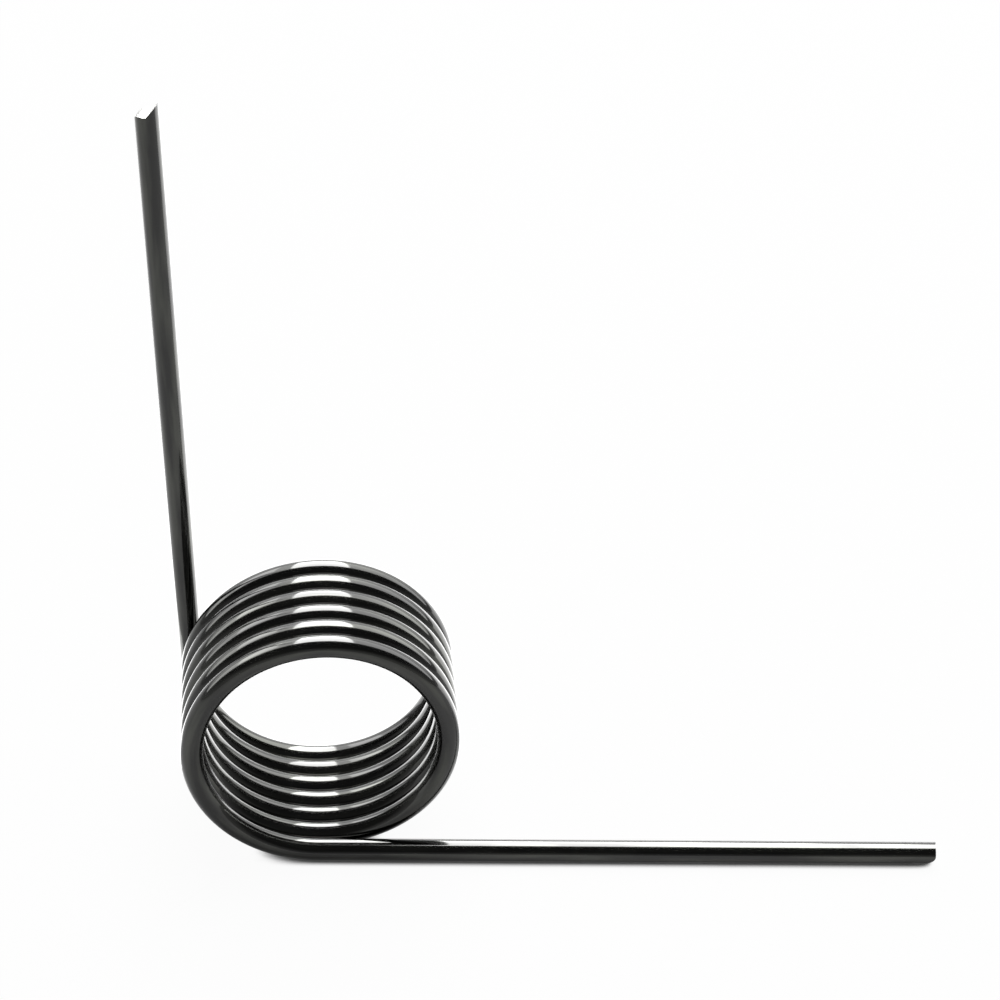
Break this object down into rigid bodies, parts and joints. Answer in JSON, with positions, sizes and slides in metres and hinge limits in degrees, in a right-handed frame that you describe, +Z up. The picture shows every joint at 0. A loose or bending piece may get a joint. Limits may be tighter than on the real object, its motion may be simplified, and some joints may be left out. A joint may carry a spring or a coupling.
{
  "type": "torsion spring",
  "caption": "Close-wound torsion spring of dark round wire, with straight legs that leave the coil along its tangent, nearly square to each other.",
  "frame": {"origin": "on the coil axis, at the middle of the coil's length", "axes": "+Y along the coil axis from the first turn to the last, +X to the side that the lower leg points to, +Z up, with the coil and the lower leg resting on a level surface"},
  "size_m": [0.071, 0.0184, 0.0683],
  "materials": {
    "wire": "oil-tempered drawn spring wire, dark oxide skin, satin gloss; bare bright steel at the sheared ends"
  },
  "bodies": {
    "root": {"spring": "wire"}
  },
  "joints": []
}
